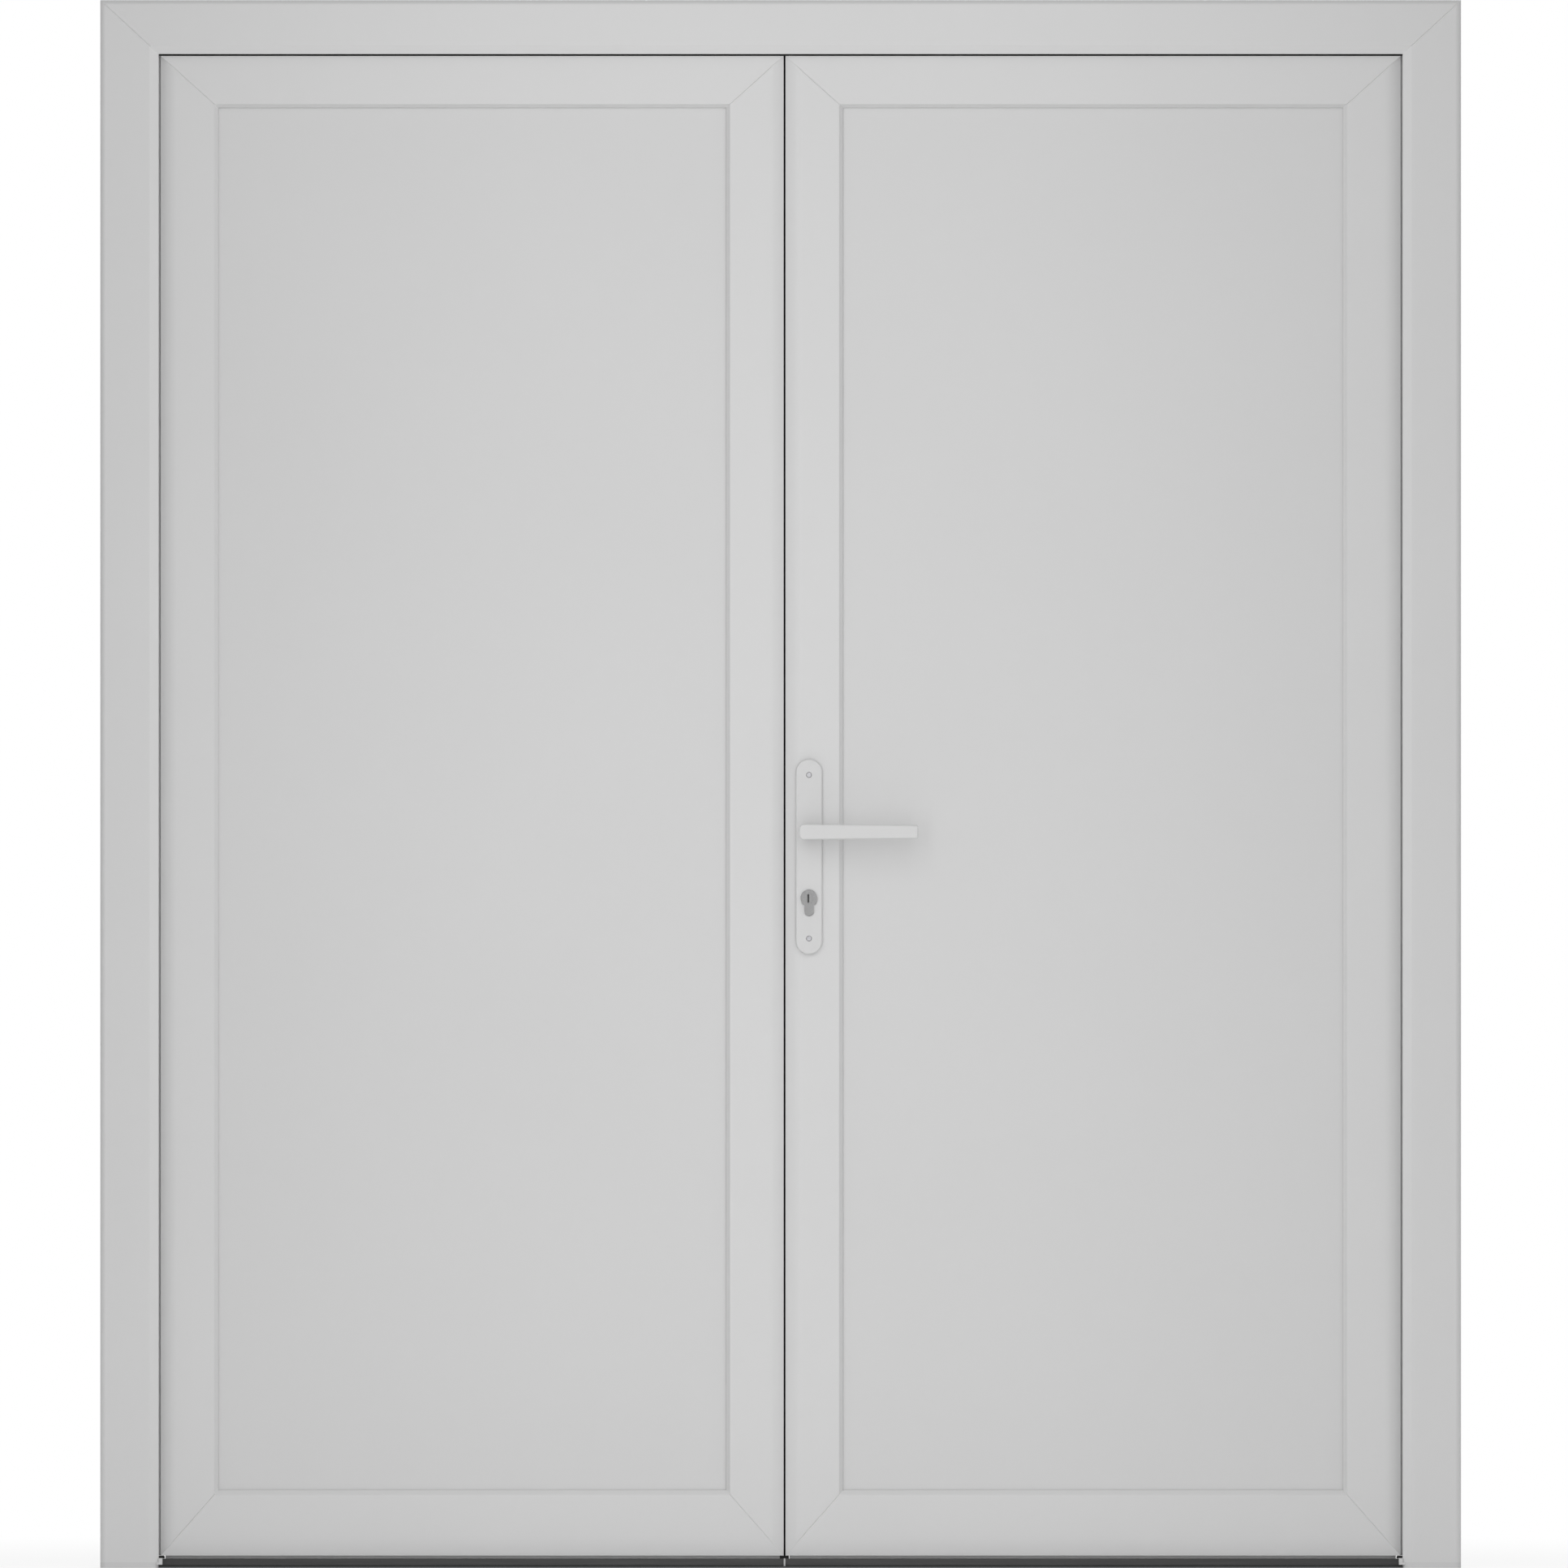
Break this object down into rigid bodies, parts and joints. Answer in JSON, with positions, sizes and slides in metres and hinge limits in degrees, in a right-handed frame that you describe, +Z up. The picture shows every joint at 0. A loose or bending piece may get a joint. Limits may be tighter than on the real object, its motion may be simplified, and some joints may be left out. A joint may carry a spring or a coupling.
{
  "type": "prehung double door",
  "caption": "White double door in its own frame: two panelled leaves on rear hinges, a lever lock with key cylinder in the right one, shoot bolts in the left one.",
  "frame": {"origin": "middle of the sill's underside, at half the frame's depth", "axes": "+X to the right as seen from the pictured front, +Y away from the viewer, +Z up"},
  "size_m": [1.736, 0.154, 2],
  "materials": {
    "frame_plastic": "satin white",
    "leaf_plastic": "satin white",
    "panel_skin": "satin white",
    "bead_plastic": "satin white",
    "foot_plastic": "matt white",
    "stop_plastic": "matt grey",
    "packer": "matt",
    "gasket": "matt black",
    "pile": "fibre",
    "galvanised": "galvanised",
    "zinc": "zinc plated",
    "bolt_steel": "plated",
    "sill_metal": "dark anodised",
    "hinge_paint": "satin white",
    "handle_paint": "satin white",
    "screw": "plated",
    "nickel": "satin nickel"
  },
  "bodies": {
    "frame": {"left_jamb": "frame_plastic", "right_jamb": "frame_plastic", "head": "frame_plastic", "frame_steels": "galvanised", "head_keep": "zinc", "frame_gasket": "gasket", "threshold": "sill_metal", "left_foot": "foot_plastic", "right_foot": "foot_plastic", "centre_stop": "stop_plastic", "frame_hinges": "hinge_paint", "hinge_pins": "zinc", "frame_hinge_screws": "screw"},
    "left_leaf": {"left_hinge_stile": "leaf_plastic", "left_meeting_stile": "leaf_plastic", "left_top_rail": "leaf_plastic", "left_bottom_rail": "leaf_plastic", "left_steels": "galvanised", "left_panel": "panel_skin", "left_panel_gaskets": "gasket", "left_beads": "bead_plastic", "left_packers": "packer", "left_flange_seal": "gasket", "left_seal_carrier": "leaf_plastic", "left_pile": "pile", "left_leaf_hinges": "hinge_paint", "left_leaf_hinge_screws": "screw", "lock_keep": "zinc"},
    "right_leaf": {"right_hinge_stile": "leaf_plastic", "right_meeting_stile": "leaf_plastic", "right_top_rail": "leaf_plastic", "right_bottom_rail": "leaf_plastic", "right_steels": "galvanised", "right_panel": "panel_skin", "right_panel_gaskets": "gasket", "right_beads": "bead_plastic", "right_packers": "packer", "right_flange_seal": "gasket", "right_seal_carrier": "leaf_plastic", "right_pile": "pile", "right_leaf_hinges": "hinge_paint", "right_leaf_hinge_screws": "screw", "lock_case": "zinc", "edge_plate": "zinc", "front_plate": "handle_paint", "rear_plate": "handle_paint", "handle_screws": "screw", "cylinder_body": "nickel"},
    "lever": {"front_lever": "handle_paint", "rear_lever": "handle_paint", "spindle": "zinc", "follower": "zinc"},
    "latch": {"latch": "bolt_steel"},
    "deadbolt": {"deadbolt": "bolt_steel"},
    "front_key": {"front_plug": "nickel", "cam": "zinc"},
    "rear_key": {"rear_plug": "nickel"},
    "top_bolt": {"top_shoot_bolt": "bolt_steel"},
    "bottom_bolt": {"bottom_shoot_bolt": "bolt_steel"}
  },
  "joints": [
    {"name": "left_leaf_swing", "type": "hinge", "parent": "frame", "child": "left_leaf", "pos_m": [-0.8225, 0.053, 1], "axis": [0, 0, 1], "range_deg": [0, 110]},
    {"name": "right_leaf_swing", "type": "hinge", "parent": "frame", "child": "right_leaf", "pos_m": [0.8225, 0.053, 1], "axis": [0, 0, -1], "range_deg": [0, 110]},
    {"name": "lever_turn", "type": "hinge", "parent": "right_leaf", "child": "lever", "pos_m": [0.0362, 0.012, 0.9389], "axis": [0, 1, 0], "range_deg": [0, 40], "stiffness_Nm_per_rad": 1.2, "springref_deg": -28.65},
    {"name": "latch_slide", "type": "slide", "parent": "right_leaf", "child": "latch", "axis": [1, 0, 0], "range_m": [0, 0.01]},
    {"name": "front_key_turn", "type": "hinge", "parent": "right_leaf", "child": "front_key", "pos_m": [0.0362, 0.012, 0.854], "axis": [0, -1, 0], "range_deg": [0, 360]},
    {"name": "bolt_slide", "type": "slide", "parent": "right_leaf", "child": "deadbolt", "axis": [-1, 0, 0], "range_m": [0, 0.015]},
    {"name": "rear_key_turn", "type": "hinge", "parent": "right_leaf", "child": "rear_key", "pos_m": [0.0362, 0.012, 0.854], "axis": [0, 1, 0], "range_deg": [0, 360]},
    {"name": "top_bolt_slide", "type": "slide", "parent": "left_leaf", "child": "top_bolt", "axis": [0, 0, 1], "range_m": [0, 0.017]},
    {"name": "bottom_bolt_slide", "type": "slide", "parent": "left_leaf", "child": "bottom_bolt", "axis": [0, 0, -1], "range_m": [0, 0.012]}
  ],
  "couplings": [
    {"joint": "latch_slide", "follows": "lever_turn", "m_per_rad": 0.0143},
    {"joint": "front_key_turn", "follows": "bolt_slide", "rad_per_m": 418}
  ]
}
